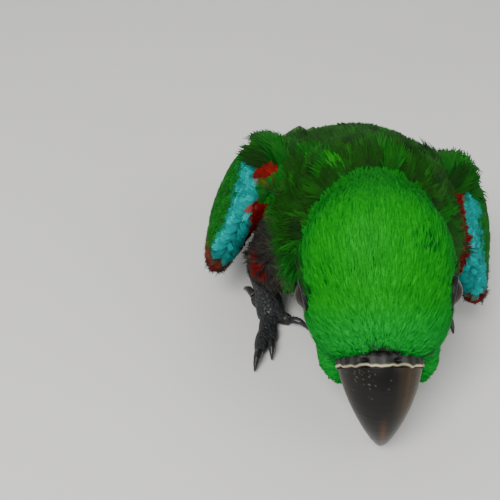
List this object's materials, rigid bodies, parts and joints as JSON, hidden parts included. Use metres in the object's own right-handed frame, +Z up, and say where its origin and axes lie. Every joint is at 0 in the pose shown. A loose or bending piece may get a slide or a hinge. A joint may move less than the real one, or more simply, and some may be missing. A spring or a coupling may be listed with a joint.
{
  "type": "young male eclectus parrot, still life-size model",
  "caption": "Still life-size model of a young green parrot crouching flat on the floor, head bowed and bill down, wings held a little open.",
  "frame": {"origin": "on the floor below the middle of the bird's box", "axes": "+Z up, -Y the way the bird faces, +X its left side, tail towards +Y"},
  "size_m": [0.1121, 0.2309, 0.0796],
  "materials": {
    "feathers": "fine overlapping green feathers, soft sheen",
    "down": "short dark down",
    "bill": "horn, smooth and softly glossy",
    "cere": "bare waxy skin",
    "eye": "wet, clear and glossy",
    "scales": "scaled dry skin",
    "claws": "smooth horn"
  },
  "bodies": {
    "root": {"torso": "feathers", "neck": "feathers", "head": "feathers", "cere": "cere", "upper_bill": "bill", "lower_bill": "bill", "eye_left": "eye", "eye_right": "eye", "wing_left": "feathers", "wing_right": "feathers", "tail": "feathers", "thigh_left": "down", "foot_left": "scales", "claw_left_1": "claws", "claw_left_2": "claws", "claw_left_3": "claws", "claw_left_4": "claws", "thigh_right": "down", "foot_right": "scales", "claw_right_1": "claws", "claw_right_2": "claws", "claw_right_3": "claws", "claw_right_4": "claws"}
  },
  "joints": []
}
